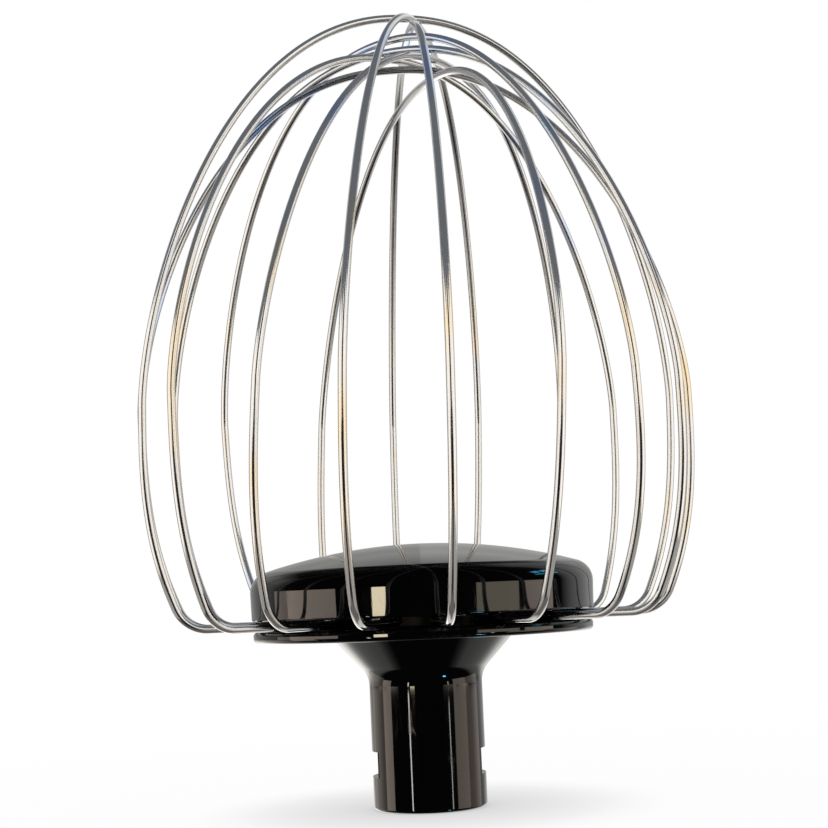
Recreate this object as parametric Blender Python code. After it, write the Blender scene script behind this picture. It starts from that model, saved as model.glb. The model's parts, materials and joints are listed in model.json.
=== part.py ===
"""Wire whip of a stand mixer: a balloon cage of nine wire loops clamped in a black plastic hub.

The hub stands on the end face of its stem at z = 0 and the cage rises along +Z. Angles are counted
from -Y towards +X. Every length below is in millimetres, and objects are made in metres.
"""

from math import atan2, cos, pi, radians, sin, sqrt, tan

import bmesh
import bpy
from mathutils import Matrix, Vector

MM = 0.001

# Clearance that neighbouring pieces keep wherever they would touch.
FIT_GAP = 0.3

# Stem, which slides over the mixer's drive shaft.
STEM_RADIUS = 13.5
STEM_EDGE = 0.8
BORE_RADIUS = 6.5
BORE_LEAD_IN = 0.6
BORE_DEPTH = 34.0

# Bayonet for the drive shaft's cross pin: two keyways that run up into two side windows.
KEYWAY_WIDTH = 5.6
KEYWAY_DEPTH = 4.0
KEYWAY_TURN = -8.0
WINDOW_BOTTOM = 7.75
WINDOW_HEIGHT = 6.0
WINDOW_WIDTH = 12.0
WINDOW_TURN = 3.0

# Neck and flange.
NECK_START = 31.5
NECK_FLARE = 8.2
NECK_FILLET = 6.0
FLANGE_FILLET = 1.5
FLANGE_SETBACK = 0.6
FLANGE_BOTTOM = 40.4
FLANGE_THICKNESS = 2.6
RIM_EDGE = 1.0

# Domed cap over the flange.
CAP_RADIUS = 41.3
CAP_SIDE_TAPER = 0.3
CAP_HEIGHT = 17.0
CAP_WALL = 2.2
CROWN_DROP = 6.6
CAP_SHOULDER = 5.0
CAP_LIP_EDGE = 0.5
CAP_BOSS_RADIUS = 6.3
COLLAR_WALL = 2.4
COLLAR_HEIGHT = 4.0

# Wires.
WIRE_DIAMETER = 1.9
LOOP_COUNT = 9
FIRST_LEG_ANGLE = 6.0
HOOK_RADIUS_FROM_AXIS = 22.0
HOOK_HEIGHT = 5.0
HOOK_BEND = 2.5
FOOT_BEND = 8.0
FOOT_SHARE = 0.611
FOOT_FULLNESS = 2.8
CAGE_RADIUS = 67.0
WIDEST_HEIGHT = 97.0
TOP_LOOP_HEIGHT = 193.5
CROWN_ROUNDNESS = 2.2
CROWN_FULLNESS = 1.6

# How each loop is set where the loops cross, in order of angle: how many wires lie above it, how far
# its top leans to +X in lean units, and how much wider than the cage it is made.
LOOP_SETS = (
    (2.10, 0.25, 0.0),
    (7.30, 0.74, -1.5),
    (2.85, -0.50, 2.5),
    (3.82, -0.25, 0.5),
    (5.95, -0.15, 0.0),
    (0.00, 0.30, 0.0),
    (4.80, -0.05, -1.0),
    (5.20, 1.00, -1.0),
    (1.05, 0.54, 0.0),
)

# Steel clamp plate that presses the wires onto the flange, and its screws.
PLATE_OUTER_GAP = 3.1
PLATE_THICKNESS = 1.5
PLATE_SCREW_COUNT = 6
PLATE_SCREW_RADIUS = 1.5
PLATE_SCREW_HEAD_RADIUS = 2.8
PLATE_SCREW_HEAD_HEIGHT = 1.8
PLATE_SCREW_SOCKET = 1.15
SCREW_BOSS_GAP = 0.7
SCREW_SKIN = 0.9

# Long screw that draws the cap down, and its washer.
CAP_SCREW_RADIUS = 2.0
CAP_SCREW_HEAD_RADIUS = 3.8
CAP_SCREW_HEAD_HEIGHT = 2.6
CAP_SCREW_SOCKET = 1.6
CAP_SCREW_TIP_DEPTH = 10.0
WASHER_RADIUS = 4.3
WASHER_THICKNESS = 1.0

# Facets of the turned pieces, of the wires and of the rounded corners.
HUB_STEPS = 48
SCREW_STEPS = 16
WIRE_SIDES_RESOLUTION = 1
CORNER_STEPS = 3
LOWER_LEG_STEPS = 7
UPPER_LEG_STEPS = 11
CROWN_STEPS = 6

# Heights and radii that follow from the sizes above.
WIRE_RADIUS = WIRE_DIAMETER / 2
KEYWAY_REACH = BORE_RADIUS + KEYWAY_DEPTH
NECK_TOP_RADIUS = STEM_RADIUS + NECK_FLARE
FLANGE_RADIUS = CAP_RADIUS - FLANGE_SETBACK
FOOT_RADIUS = CAP_RADIUS + FOOT_SHARE * (CAGE_RADIUS - CAP_RADIUS)
FLANGE_TOP = FLANGE_BOTTOM + FLANGE_THICKNESS
SEAM_HEIGHT = FLANGE_TOP + FIT_GAP + WIRE_RADIUS
CAP_LIP = SEAM_HEIGHT + WIRE_RADIUS + FIT_GAP
CAP_TOP = CAP_LIP + CAP_HEIGHT
PLATE_BOTTOM = CAP_LIP
PLATE_TOP = PLATE_BOTTOM + PLATE_THICKNESS
COLLAR_INNER_RADIUS = CAP_BOSS_RADIUS + FIT_GAP
WEB_HOLE_RADIUS = CAP_SCREW_RADIUS + FIT_GAP
CAP_BOSS_BOTTOM = FLANGE_TOP + FIT_GAP
WASHER_TOP = BORE_DEPTH - FIT_GAP
SCREW_HEAD_TOP = WASHER_TOP - WASHER_THICKNESS - FIT_GAP
CROSSING_PITCH = WIRE_DIAMETER + FIT_GAP
CROWN_CURVATURE_RADIUS = CAGE_RADIUS**2 / (TOP_LOOP_HEIGHT - WIDEST_HEIGHT)
LEAN_UNIT = sqrt(CROSSING_PITCH * CROWN_CURVATURE_RADIUS)
LEG_SPACING = 180.0 / LOOP_COUNT
PLATE_INNER_RADIUS = HOOK_RADIUS_FROM_AXIS + HOOK_BEND
PLATE_OUTER_RADIUS = CAP_RADIUS - CAP_WALL - PLATE_OUTER_GAP
PLATE_SCREW_CIRCLE = (PLATE_INNER_RADIUS + PLATE_OUTER_RADIUS) / 2
HALF_GAP_BETWEEN_WIRES = PLATE_SCREW_CIRCLE * sin(radians(LEG_SPACING / 2)) - WIRE_RADIUS
SCREW_BOSS_RADIUS = HALF_GAP_BETWEEN_WIRES - SCREW_BOSS_GAP


def clear_scene():
    for obj in list(bpy.data.objects):
        bpy.data.objects.remove(obj, do_unlink=True)


def finish(name, color, roughness, metallic):
    material = bpy.data.materials.new(name)
    material.use_nodes = True
    shader = material.node_tree.nodes["Principled BSDF"]
    shader.inputs["Base Color"].default_value = (*color, 1.0)
    shader.inputs["Roughness"].default_value = roughness
    shader.inputs["Metallic"].default_value = metallic
    return material


def add_object(name, data, material=None, parent=None):
    obj = bpy.data.objects.new(name, data)
    bpy.context.scene.collection.objects.link(obj)
    if material:
        data.materials.append(material)
    if parent:
        obj.parent = parent
    return obj


def direction(angle):
    """Unit vector in plan at this angle from -Y towards +X."""
    turn = radians(angle)
    return Vector((sin(turn), -cos(turn), 0.0))


def arc_points(corner, before, after, radius):
    """The points of a fillet at a corner, between the points before and after it."""
    corner, before, after = Vector(corner), Vector(before), Vector(after)
    to_before = (before - corner).normalized()
    to_after = (after - corner).normalized()
    half = to_before.angle(to_after) / 2
    setback = radius / tan(half)
    center = corner + (to_before + to_after).normalized() * (radius / sin(half))
    start = corner + to_before * setback - center
    sweep = pi - 2 * half
    toward = (corner + to_after * setback - center).normalized()
    across = (toward - toward.project(start)).normalized() * radius
    steps = [sweep * i / CORNER_STEPS for i in range(CORNER_STEPS + 1)]
    return [center + start * cos(angle) + across * sin(angle) for angle in steps]


def rounded(outline):
    """A closed outline of (radius, height, fillet) corners as plain points."""
    points = []
    for i, (x, z, fillet) in enumerate(outline):
        if fillet == 0:
            points.append(Vector((x, z)))
            continue
        before = outline[i - 1][:2]
        after = outline[(i + 1) % len(outline)][:2]
        points += arc_points((x, z), before, after, fillet)
    return points


def turned_mesh(name, outline, steps):
    """A solid of revolution round the Z axis from a closed outline of radius and height."""
    shape = bmesh.new()
    ring = [shape.verts.new((point[0] * MM, 0.0, point[1] * MM)) for point in outline]
    edges = [shape.edges.new((a, b)) for a, b in zip(ring, ring[1:] + ring[:1])]
    bmesh.ops.spin(
        shape, geom=ring + edges, axis=(0, 0, 1), cent=(0, 0, 0),
        angle=2 * pi, steps=steps, use_merge=True,
    )
    bmesh.ops.remove_doubles(shape, verts=shape.verts, dist=1e-7)
    bmesh.ops.dissolve_degenerate(shape, edges=shape.edges, dist=1e-7)
    bmesh.ops.recalc_face_normals(shape, faces=shape.faces)
    mesh = bpy.data.meshes.new(name)
    shape.to_mesh(mesh)
    shape.free()
    mesh.shade_smooth()
    mesh.set_sharp_from_angle(angle=radians(35))
    return mesh


def cylinders_mesh(name, centers, radius, bottom, top, sides):
    """Upright cylinders, or prisms with few sides, at these centres in plan."""
    shape = bmesh.new()
    for center in centers:
        middle = Vector((center.x, center.y, (bottom + top) / 2)) * MM
        bmesh.ops.create_cone(
            shape, cap_ends=True, segments=sides, radius1=radius * MM, radius2=radius * MM,
            depth=(top - bottom) * MM, matrix=Matrix.Translation(middle),
        )
    mesh = bpy.data.meshes.new(name)
    shape.to_mesh(mesh)
    shape.free()
    return mesh


def box_mesh(name, length, width, bottom, top, turn):
    """A box centred on the axis, turned about it by an angle in degrees."""
    size = Matrix.Diagonal((length * MM, width * MM, (top - bottom) * MM, 1.0))
    place = Matrix.Rotation(radians(turn), 4, "Z") @ Matrix.Translation(
        (0.0, 0.0, (bottom + top) / 2 * MM)
    )
    shape = bmesh.new()
    bmesh.ops.create_cube(shape, size=1.0, matrix=place @ size)
    mesh = bpy.data.meshes.new(name)
    shape.to_mesh(mesh)
    shape.free()
    return mesh


def combine(target, mesh, operation):
    """Joins a helper shape to an object, or cuts it away, and hides the helper."""
    helper = add_object(mesh.name, mesh, parent=target)
    helper.hide_render = True
    helper.display_type = "WIRE"
    modifier = target.modifiers.new(mesh.name, "BOOLEAN")
    modifier.operation = operation
    modifier.object = helper


def plate_screw_centers():
    angles = [
        FIRST_LEG_ANGLE + LEG_SPACING / 2 + i * 360 / PLATE_SCREW_COUNT
        for i in range(PLATE_SCREW_COUNT)
    ]
    return [direction(angle) * PLATE_SCREW_CIRCLE for angle in angles]


def make_hub_body(material):
    collar_outer = COLLAR_INNER_RADIUS + COLLAR_WALL
    collar_top = FLANGE_TOP + COLLAR_HEIGHT
    outline = (
        (WEB_HOLE_RADIUS, BORE_DEPTH, 0),
        (BORE_RADIUS, BORE_DEPTH, 0),
        (BORE_RADIUS, BORE_LEAD_IN, 0),
        (BORE_RADIUS + BORE_LEAD_IN, 0.0, 0),
        (STEM_RADIUS, 0.0, STEM_EDGE),
        (STEM_RADIUS, NECK_START, NECK_FILLET),
        (NECK_TOP_RADIUS, FLANGE_BOTTOM, FLANGE_FILLET),
        (FLANGE_RADIUS, FLANGE_BOTTOM, RIM_EDGE),
        (FLANGE_RADIUS, FLANGE_TOP, RIM_EDGE),
        (collar_outer, FLANGE_TOP, 0),
        (collar_outer, collar_top, 0),
        (COLLAR_INNER_RADIUS, collar_top, 0),
        (COLLAR_INNER_RADIUS, FLANGE_TOP, 0),
        (WEB_HOLE_RADIUS, FLANGE_TOP, 0),
    )
    hub = add_object("hub_body", turned_mesh("hub_body", rounded(outline), HUB_STEPS), material)
    add_bayonet(hub)
    add_screw_bosses(hub)
    return hub


def add_bayonet(hub):
    window_top = WINDOW_BOTTOM + WINDOW_HEIGHT
    keyway_top = WINDOW_BOTTOM + WINDOW_HEIGHT / 2
    keyways = box_mesh(
        "keyway_cutter", 2 * KEYWAY_REACH, KEYWAY_WIDTH, -STEM_EDGE, keyway_top, KEYWAY_TURN
    )
    windows = box_mesh(
        "window_cutter", 2.4 * STEM_RADIUS, WINDOW_WIDTH, WINDOW_BOTTOM, window_top, WINDOW_TURN
    )
    combine(hub, keyways, "DIFFERENCE")
    combine(hub, windows, "DIFFERENCE")


def add_screw_bosses(hub):
    centers = plate_screw_centers()
    boss_top = PLATE_BOTTOM - FIT_GAP
    bosses = cylinders_mesh(
        "boss_shape", centers, SCREW_BOSS_RADIUS, FLANGE_TOP - FLANGE_THICKNESS / 2, boss_top, 16
    )
    holes = cylinders_mesh(
        "boss_hole_cutter", centers, PLATE_SCREW_RADIUS + FIT_GAP,
        FLANGE_BOTTOM + SCREW_SKIN, boss_top + FLANGE_THICKNESS, 12,
    )
    combine(hub, bosses, "UNION")
    combine(hub, holes, "DIFFERENCE")


def crown_height(radius, below):
    """Height of the cap's crown, or of a surface a distance below it."""
    return CAP_TOP - below - CROWN_DROP * (radius / CAP_RADIUS) ** 2


def make_hub_cap(material):
    inner_radius = CAP_RADIUS - CAP_WALL
    hole_radius = CAP_SCREW_RADIUS + FIT_GAP
    hole_top = CAP_BOSS_BOTTOM + CAP_SCREW_TIP_DEPTH + FIT_GAP
    crown = [CAP_RADIUS * i / CROWN_STEPS for i in range(CROWN_STEPS)]
    ceiling = [
        CAP_BOSS_RADIUS + (inner_radius - CAP_BOSS_RADIUS) * i / CROWN_STEPS
        for i in range(CROWN_STEPS)
    ]
    outline = [
        (CAP_RADIUS - CAP_SIDE_TAPER, CAP_LIP, CAP_LIP_EDGE),
        (CAP_RADIUS, crown_height(CAP_RADIUS, 0), CAP_SHOULDER),
        *[(radius, crown_height(radius, 0), 0) for radius in reversed(crown)],
        (0.0, hole_top, 0),
        (hole_radius, hole_top, 0),
        (hole_radius, CAP_BOSS_BOTTOM, 0),
        (CAP_BOSS_RADIUS, CAP_BOSS_BOTTOM, 0),
        *[(radius, crown_height(radius, CAP_WALL), 0) for radius in ceiling],
        (inner_radius, crown_height(inner_radius, CAP_WALL), CAP_SHOULDER - CAP_WALL),
        (inner_radius - CAP_SIDE_TAPER, CAP_LIP, 0),
    ]
    return add_object("hub_cap", turned_mesh("hub_cap", rounded(outline), HUB_STEPS), material)


def make_clamp_plate(material):
    outline = (
        (PLATE_INNER_RADIUS, PLATE_BOTTOM, 0),
        (PLATE_OUTER_RADIUS, PLATE_BOTTOM, 0),
        (PLATE_OUTER_RADIUS, PLATE_TOP, 0),
        (PLATE_INNER_RADIUS, PLATE_TOP, 0),
    )
    mesh = turned_mesh("clamp_plate", rounded(outline), HUB_STEPS)
    plate = add_object("clamp_plate", mesh, material)
    holes = cylinders_mesh(
        "plate_hole_cutter", plate_screw_centers(), PLATE_SCREW_RADIUS + FIT_GAP,
        PLATE_BOTTOM - PLATE_THICKNESS, PLATE_TOP + PLATE_THICKNESS, 12,
    )
    combine(plate, holes, "DIFFERENCE")
    return plate


def make_screw(name, place, turn, head, shank, socket, material):
    """A screw whose head rests on z = 0 of its own frame, its shank below, turned about X.

    The head is given as radius and height, and the shank as radius and length.
    """
    head_radius, head_height = head
    shank_radius, shank_length = shank
    outline = (
        (0.0, head_height, 0),
        (head_radius * 0.7, head_height, 0),
        (head_radius, head_height * 0.55, 0),
        (head_radius, 0.0, 0),
        (shank_radius, 0.0, 0),
        (shank_radius, shank_radius - shank_length, 0),
        (shank_radius * 0.4, -shank_length, 0),
        (0.0, -shank_length, 0),
    )
    screw = add_object(name, turned_mesh(name, rounded(outline), SCREW_STEPS), material)
    hexagon = cylinders_mesh(
        name + "_socket_cutter", [Vector((0.0, 0.0, 0.0))], socket,
        head_height * 0.45, head_height * 1.5, 6,
    )
    combine(screw, hexagon, "DIFFERENCE")
    screw.location = place * MM
    screw.rotation_euler = (turn, 0.0, 0.0)
    return screw


def make_plate_screws(material):
    seat = PLATE_TOP + FIT_GAP
    head = (PLATE_SCREW_HEAD_RADIUS, PLATE_SCREW_HEAD_HEIGHT)
    shank = (PLATE_SCREW_RADIUS, seat - (FLANGE_BOTTOM + SCREW_SKIN + FIT_GAP))
    for number, center in enumerate(plate_screw_centers(), start=1):
        place = Vector((center.x, center.y, seat))
        make_screw(f"clamp_screw_{number}", place, 0.0, head, shank, PLATE_SCREW_SOCKET, material)


def make_cap_screw(material):
    place = Vector((0.0, 0.0, SCREW_HEAD_TOP))
    head = (CAP_SCREW_HEAD_RADIUS, CAP_SCREW_HEAD_HEIGHT)
    shank = (CAP_SCREW_RADIUS, CAP_BOSS_BOTTOM + CAP_SCREW_TIP_DEPTH - SCREW_HEAD_TOP)
    make_screw("cap_screw", place, pi, head, shank, CAP_SCREW_SOCKET, material)


def make_cap_screw_washer(material):
    outline = (
        (CAP_SCREW_RADIUS + FIT_GAP, WASHER_TOP - WASHER_THICKNESS, 0),
        (WASHER_RADIUS, WASHER_TOP - WASHER_THICKNESS, 0),
        (WASHER_RADIUS, WASHER_TOP, 0),
        (CAP_SCREW_RADIUS + FIT_GAP, WASHER_TOP, 0),
    )
    mesh = turned_mesh("cap_screw_washer", rounded(outline), 2 * SCREW_STEPS)
    add_object("cap_screw_washer", mesh, material)


def lower_leg_radius(height, widest):
    below = (WIDEST_HEIGHT - height) / (WIDEST_HEIGHT - SEAM_HEIGHT)
    return widest - (widest - FOOT_RADIUS) * below**FOOT_FULLNESS


def lower_leg_lean(height, widest):
    """Angle from upright at which the leg leaves the foot bend."""
    step = 0.01
    rise = lower_leg_radius(height + step, widest) - lower_leg_radius(height, widest)
    return atan2(rise, step)


def hook_points():
    """Radius and height of the hooked end, up to where the wire runs level outwards."""
    corner = Vector((HOOK_RADIUS_FROM_AXIS, SEAM_HEIGHT))
    tip = Vector((HOOK_RADIUS_FROM_AXIS, SEAM_HEIGHT + HOOK_HEIGHT))
    outwards = Vector((FOOT_RADIUS, SEAM_HEIGHT))
    return [tip] + arc_points(corner, tip, outwards, HOOK_BEND)


def lower_leg_points(widest):
    """Radius and height of the foot bend and of the leg up to just below the widest height."""
    leg_start = SEAM_HEIGHT + FOOT_BEND / 2
    for _ in range(20):
        leg_start = SEAM_HEIGHT + FOOT_BEND * (1 - sin(lower_leg_lean(leg_start, widest)))
    lean = lower_leg_lean(leg_start, widest)
    bend_radius = lower_leg_radius(leg_start, widest) - FOOT_BEND * cos(lean)
    bend_center = Vector((bend_radius, SEAM_HEIGHT + FOOT_BEND))
    bend_steps = 2 * CORNER_STEPS
    points = []
    for i in range(bend_steps):
        angle = (pi / 2 - lean) * i / bend_steps
        points.append(bend_center + FOOT_BEND * Vector((sin(angle), -cos(angle))))
    for i in range(LOWER_LEG_STEPS):
        height = leg_start + (WIDEST_HEIGHT - leg_start) * i / LOWER_LEG_STEPS
        points.append(Vector((lower_leg_radius(height, widest), height)))
    return points


def upper_leg_points(apex, widest):
    """Radius and height of the leg from the widest height to the top of the loop."""
    points = []
    for i in range(UPPER_LEG_STEPS + 1):
        angle = pi / 2 * i / UPPER_LEG_STEPS
        radius = widest * max(cos(angle), 0.0) ** (2 / CROWN_ROUNDNESS)
        height = WIDEST_HEIGHT + (apex - WIDEST_HEIGHT) * sin(angle) ** (2 / CROWN_FULLNESS)
        points.append(Vector((radius, height)))
    return points


def loop_centre_line(number):
    """Points of one loop, up one leg, over the top and down the leg opposite."""
    level, lean_units, spread = LOOP_SETS[number]
    apex = TOP_LOOP_HEIGHT - level * CROSSING_PITCH
    widest = CAGE_RADIUS + spread
    profile = hook_points() + lower_leg_points(widest) + upper_leg_points(apex, widest)
    outward = direction(FIRST_LEG_ANGLE + number * LEG_SPACING)
    sides = [(outward, point) for point in profile[:-1]]
    sides += [(-outward, point) for point in reversed(profile)]
    points = []
    for side, (radius, height) in sides:
        share = max(height - SEAM_HEIGHT - HOOK_HEIGHT, 0.0) / (apex - SEAM_HEIGHT - HOOK_HEIGHT)
        lean = Vector((lean_units * LEAN_UNIT * share, 0.0, height))
        points.append((side * radius + lean) * MM)
    return points


def make_wire_loop(number, material):
    points = loop_centre_line(number)
    curve = bpy.data.curves.new(f"wire_loop_{number + 1}", "CURVE")
    curve.dimensions = "3D"
    curve.twist_mode = "MINIMUM"
    curve.bevel_depth = WIRE_RADIUS * MM
    curve.bevel_resolution = WIRE_SIDES_RESOLUTION
    curve.use_fill_caps = True
    spline = curve.splines.new("POLY")
    spline.points.add(len(points) - 1)
    for target, point in zip(spline.points, points):
        target.co = (*point, 1.0)
    spline.use_smooth = True
    return add_object(curve.name, curve, material)


def main():
    clear_scene()
    black_plastic = finish("gloss_black_plastic", (0.012, 0.012, 0.014), 0.08, 0.0)
    wire_steel = finish("polished_wire_steel", (0.62, 0.60, 0.58), 0.15, 1.0)
    plate_steel = finish("plain_plate_steel", (0.55, 0.56, 0.57), 0.35, 1.0)
    make_hub_body(black_plastic)
    make_hub_cap(black_plastic)
    make_clamp_plate(plate_steel)
    make_plate_screws(plate_steel)
    make_cap_screw(plate_steel)
    make_cap_screw_washer(plate_steel)
    for number in range(LOOP_COUNT):
        make_wire_loop(number, wire_steel)


main()
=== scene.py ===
"""Looks of a stand mixer's balloon whisk: polished wire loops in a glossy black plastic hub.

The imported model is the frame. Every visible piece is made here at full smoothness in the same
place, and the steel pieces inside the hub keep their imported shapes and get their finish. The hub
stands on the end face of its stem at z = 0, the cage rises along +Z, and angles are counted from
-Y towards +X. All lengths are in metres.
"""

import json
from math import atan2, cos, pi, radians, sin, sqrt, tan

import bmesh
import bpy
from bpy.props import FloatProperty, FloatVectorProperty, IntProperty, PointerProperty
from bpy.types import Operator, Panel, PropertyGroup
from mathutils import Matrix, Vector

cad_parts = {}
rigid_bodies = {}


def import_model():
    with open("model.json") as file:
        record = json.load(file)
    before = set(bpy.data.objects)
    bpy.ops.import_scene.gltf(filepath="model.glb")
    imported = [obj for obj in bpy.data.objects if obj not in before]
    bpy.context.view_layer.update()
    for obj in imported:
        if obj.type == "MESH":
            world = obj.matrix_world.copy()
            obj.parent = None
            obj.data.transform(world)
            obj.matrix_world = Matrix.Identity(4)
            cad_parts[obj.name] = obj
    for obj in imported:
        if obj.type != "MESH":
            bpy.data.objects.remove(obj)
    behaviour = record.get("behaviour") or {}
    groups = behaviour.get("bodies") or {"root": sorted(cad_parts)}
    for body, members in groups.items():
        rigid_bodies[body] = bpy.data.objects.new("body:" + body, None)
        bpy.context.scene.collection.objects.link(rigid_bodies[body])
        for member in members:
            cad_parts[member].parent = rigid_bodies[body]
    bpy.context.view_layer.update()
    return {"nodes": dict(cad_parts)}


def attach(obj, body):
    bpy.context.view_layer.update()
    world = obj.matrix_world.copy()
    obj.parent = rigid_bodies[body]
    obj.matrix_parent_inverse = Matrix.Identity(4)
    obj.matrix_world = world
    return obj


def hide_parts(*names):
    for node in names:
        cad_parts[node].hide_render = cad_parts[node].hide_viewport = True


bl_info = {
    "name": "Balloon whisk",
    "version": (1, 0, 0),
    "blender": (4, 5, 0),
    "location": "View3D > Sidebar > Whisk",
    "description": "Makes the wire loops, the hub and the studio of a stand mixer's balloon whisk",
    "category": "Add Mesh",
}

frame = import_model()

LOOP_COUNT = 9

# How each loop is set where the loops cross, in order of angle: how many wires lie above it, how
# far its top leans to +X in lean units, and how much wider than the cage it is, in millimetres.
LOOP_SETS = (
    (2.10, 0.25, 0.0),
    (7.30, 0.74, -1.5),
    (2.85, -0.50, 2.5),
    (3.82, -0.25, 0.5),
    (5.95, -0.15, 0.0),
    (0.00, 0.30, 0.0),
    (4.80, -0.05, -1.0),
    (5.20, 1.00, -1.0),
    (1.05, 0.54, 0.0),
)

FIRST_LEG_ANGLE = 6.0

INNER_STEEL = ("clamp_plate", "cap_screw", "cap_screw_washer")

# Screws of the clamp plate, with the bosses that they go into.
PLATE_SCREW_COUNT = 6
PLATE_SCREW_ANGLE = 16.0
PLATE_SCREW_CIRCLE = 0.03025
PLATE_BOSS_RADIUS = 0.0036
PLATE_BOSS_HOLE = 0.0018

# Bayonet: keyways from below the stem's end up to the side windows.
KEYWAY_WIDTH = 0.0056
KEYWAY_DEPTH = 0.004
KEYWAY_BOTTOM = -0.0008
KEYWAY_TOP = 0.01075
KEYWAY_ANGLE = -8.0
WINDOW_WIDTH = 0.012
WINDOW_BOTTOM = 0.00775
WINDOW_TOP = 0.01375
WINDOW_ANGLE = 3.0
WINDOW_CORNER = 0.0007

# Round the cap's screw: its hole, the hub's collar, and the cap's boss inside that collar.
CAP_SCREW_HOLE = 0.0023
CAP_SCREW_HOLE_TOP = 0.0536
COLLAR_BORE = 0.0066
COLLAR_RADIUS = 0.009
COLLAR_HEIGHT = 0.004
CAP_BOSS_RADIUS = 0.0063
CAP_BOSS_BOTTOM = 0.0433

# Inside the hub the plastic is left as moulded, within this radius and above this height.
MOULDED_RADIUS = 0.0385
MOULDED_HEIGHT = 0.0428


# Sizes and colours that a user would change.


def length(name, description, default):
    """A property that holds a length."""
    return FloatProperty(name=name, description=description, default=default, unit="LENGTH")


def finish_color(name, description, default):
    """A property that holds a colour."""
    return FloatVectorProperty(
        name=name, description=description, default=default, subtype="COLOR", size=3,
        min=0.0, max=1.0,
    )


class WireSettings(PropertyGroup):
    """Sizes of the wires and of the cage that they make."""

    diameter: length("Wire diameter", "Thickness of the wire", 0.0019)
    gap: length("Gap", "Clearance between crossing wires", 0.0003)
    seam_height: length("Seam height", "Height at which the wires leave the hub", 0.04425)
    hook_radius: length("Hook radius", "Distance of the hooked ends from the axis", 0.022)
    hook_height: length("Hook height", "How far the hooked ends stand up", 0.005)
    hook_bend: length("Hook bend", "Bend radius of the hooked ends", 0.0025)
    foot_radius: length(
        "Foot radius", "Distance of the legs from the axis beside the hub", 0.0570027
    )
    foot_bend: length("Foot bend", "Bend radius where the legs turn up", 0.008)
    foot_fullness: FloatProperty(
        name="Foot fullness", description="How late the legs draw in towards the hub", default=2.8
    )
    cage_radius: length("Cage radius", "Largest distance of the legs from the axis", 0.06687)
    widest_height: length("Widest height", "Height at which the cage is widest", 0.097)
    top_height: length("Top height", "Height of the highest loop's wire centre", 0.19346)
    crown_roundness: FloatProperty(
        name="Crown roundness", description="Exponent of the crown's width", default=2.2
    )
    crown_fullness: FloatProperty(
        name="Crown fullness", description="Exponent of the crown's height", default=1.6
    )
    sides: IntProperty(
        name="Sides", description="Sides of the round wire", default=20, min=8, max=48
    )


class HubSettings(PropertyGroup):
    """Sizes of the hub's two mouldings."""

    stem_radius: length("Stem radius", "Outside of the stem", 0.0135)
    bore_radius: length("Bore radius", "Bore for the drive shaft", 0.0065)
    bore_depth: length("Bore depth", "Depth of the bore", 0.034)
    neck_start: length("Neck start", "Height at which the stem flares", 0.0315)
    neck_top_radius: length("Neck top radius", "Radius where the neck meets the flange", 0.0217)
    flange_bottom: length("Flange bottom", "Height of the flange's lower face", 0.0404)
    flange_top: length("Flange top", "Height of the face that the wires lie on", 0.043)
    flange_radius: length("Flange radius", "Outside of the flange", 0.0407)
    cap_radius: length("Cap radius", "Outside of the domed cap", 0.0413)
    cap_lip: length("Cap lip height", "Height of the cap's lower edge", 0.0455)
    cap_top: length("Cap top height", "Height of the top of the dome", 0.0625)
    cap_wall: length("Cap wall", "Wall thickness of the cap", 0.0022)
    crown_drop: length(
        "Crown drop", "How far the dome falls from its centre to its shoulder", 0.0066
    )
    shoulder: length("Shoulder", "Radius of the dome's shoulder", 0.005)
    steps: IntProperty(
        name="Steps", description="Facets round the hub", default=144, min=48, max=256
    )


class FinishSettings(PropertyGroup):
    """Colours of the finishes."""

    plastic: finish_color("Plastic", "Colour of the black moulding", (0.0012, 0.0012, 0.0016))
    steel: finish_color("Wire steel", "Colour of the polished wire", (0.60, 0.59, 0.58))
    straw: finish_color("Straw tint", "Warm tint in patches at middle heights of the wire", (0.66, 0.53, 0.34))
    # The blue tint is a painted reflection of a blue window on the wire's bottom bends and crown.
    blue_reflection_tint: finish_color("Blue tint", "Blue tint painted where the wire reflects a blue window", (0.24, 0.40, 0.72))
    plate: finish_color(
        "Plate steel", "Colour of the plain steel inside the hub", (0.50, 0.51, 0.52)
    )


class StudioSettings(PropertyGroup):
    """Floor, light and camera."""

    backdrop: FloatProperty(
        name="Backdrop", description="Brightness of the backdrop that the camera sees",
        default=1.0, min=0.0,
    )
    floor_radius: length("Floor radius", "Radius of the floor", 0.6)
    camera_distance: length("Camera distance", "Distance of the camera from the axis", 0.4083)
    camera_height: length("Camera height", "Height of the camera", 0.050)
    camera_tilt: FloatProperty(
        name="Camera tilt", description="How far the camera looks up", default=0.1075,
        subtype="ANGLE",
    )
    camera_roll: FloatProperty(
        name="Camera roll", description="How far the camera is turned about its line of sight",
        default=-0.0435, subtype="ANGLE",
    )
    lens: FloatProperty(
        name="Lens", description="Focal length in millimetres", default=73.2, min=1.0
    )


class WhiskSettings(PropertyGroup):
    """All the whisk's settings."""

    wires: PointerProperty(type=WireSettings)
    hub: PointerProperty(type=HubSettings)
    finish: PointerProperty(type=FinishSettings)
    studio: PointerProperty(type=StudioSettings)


# Outlines and meshes.


def direction(angle):
    """Unit vector in plan at this angle in degrees from -Y towards +X."""
    turn = radians(angle)
    return Vector((sin(turn), -cos(turn), 0.0))


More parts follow.
